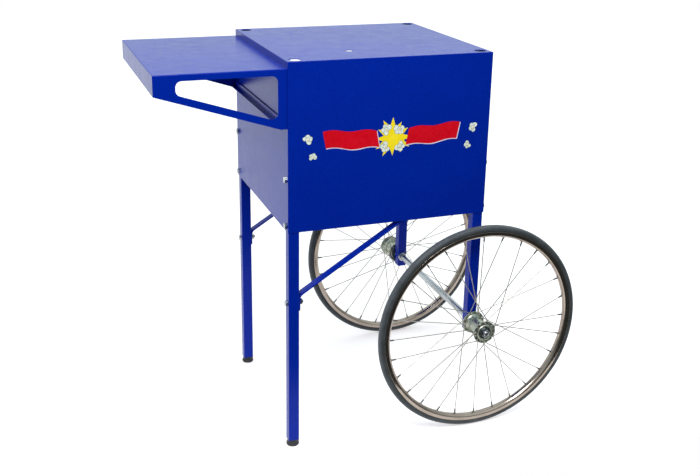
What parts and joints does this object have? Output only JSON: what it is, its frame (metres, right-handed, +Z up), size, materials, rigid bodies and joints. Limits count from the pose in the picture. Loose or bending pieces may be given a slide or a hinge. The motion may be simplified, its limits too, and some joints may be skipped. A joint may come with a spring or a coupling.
{
  "type": "popcorn machine cart",
  "caption": "Wheeled stand for a popcorn machine: painted sheet cabinet open at the back, side shelf on cut-out gussets, square tube legs with braces, and spoked wheels on a through axle.",
  "frame": {"origin": "middle of the ground area that the stand covers, at ground level", "axes": "+X from the shelf towards the wheels, +Y from the decorated front towards the open back, +Z up"},
  "size_m": [1.006, 0.619, 0.92],
  "materials": {
    "blue_powder_coat": "semi-gloss powder coat with a fine orange peel",
    "zinc_plate": "bright zinc plate",
    "hub_plate": "yellow-green passivated zinc plate",
    "rim_chrome": "polished",
    "spoke_steel": "drawn wire, lightly plated",
    "grey_tyre": "smooth solid rubber",
    "black_plastic": "moulded, fine texture",
    "bush_plastic": "moulded nylon",
    "decal_film": "printed vinyl film"
  },
  "bodies": {
    "stand": {"top_panel": "blue_powder_coat", "front_panel": "blue_powder_coat", "left_side_panel": "blue_powder_coat", "right_side_panel": "blue_powder_coat", "cabinet_floor": "blue_powder_coat", "deck_angles": "blue_powder_coat", "floor_angles": "blue_powder_coat", "rear_top_rail": "blue_powder_coat", "shelf_tray": "blue_powder_coat", "shelf_wall_rail": "blue_powder_coat", "front_long_leg": "blue_powder_coat", "rear_long_leg": "blue_powder_coat", "front_short_leg": "blue_powder_coat", "rear_short_leg": "blue_powder_coat", "front_short_leg_cap": "blue_powder_coat", "rear_short_leg_cap": "blue_powder_coat", "front_brace": "blue_powder_coat", "rear_brace": "blue_powder_coat", "shelf_bolts": "zinc_plate", "shelf_nuts": "zinc_plate", "brace_leg_bolts": "zinc_plate", "brace_leg_nuts": "zinc_plate", "brace_floor_bolts": "zinc_plate", "brace_floor_nuts": "zinc_plate", "panel_bolts": "zinc_plate", "panel_nuts": "zinc_plate", "axle_rod": "zinc_plate", "axle_sleeve": "zinc_plate", "axle_inner_washers": "zinc_plate", "axle_leg_washers": "zinc_plate", "axle_end_washers": "zinc_plate", "axle_nuts": "zinc_plate", "front_decal": "decal_film", "front_leg_insert": "black_plastic", "rear_leg_insert": "black_plastic"},
    "front_wheel": {"front_wheel_tyre": "grey_tyre", "front_wheel_rim": "rim_chrome", "front_wheel_spokes": "spoke_steel", "front_wheel_nipples": "spoke_steel", "front_wheel_hub": "hub_plate", "front_wheel_inner_bush": "bush_plastic", "front_wheel_outer_bush": "bush_plastic"},
    "rear_wheel": {"rear_wheel_tyre": "grey_tyre", "rear_wheel_rim": "rim_chrome", "rear_wheel_spokes": "spoke_steel", "rear_wheel_nipples": "spoke_steel", "rear_wheel_hub": "hub_plate", "rear_wheel_inner_bush": "bush_plastic", "rear_wheel_outer_bush": "bush_plastic"},
    "front_foot": {"front_foot_pad": "black_plastic", "front_foot_stem": "zinc_plate"},
    "rear_foot": {"rear_foot_pad": "black_plastic", "rear_foot_stem": "zinc_plate"}
  },
  "joints": [
    {"name": "front_wheel_spin", "type": "hinge", "parent": "stand", "child": "front_wheel", "pos_m": [0.243, -0.267, 0.26], "axis": [0, 1, 0], "continuous": true},
    {"name": "rear_wheel_spin", "type": "hinge", "parent": "stand", "child": "rear_wheel", "pos_m": [0.243, 0.267, 0.26], "axis": [0, 1, 0], "continuous": true},
    {"name": "front_foot_screw", "type": "slide", "parent": "stand", "child": "front_foot", "axis": [0, 0, -1], "range_m": [0, 0.012]},
    {"name": "rear_foot_screw", "type": "slide", "parent": "stand", "child": "rear_foot", "axis": [0, 0, -1], "range_m": [0, 0.012]}
  ]
}
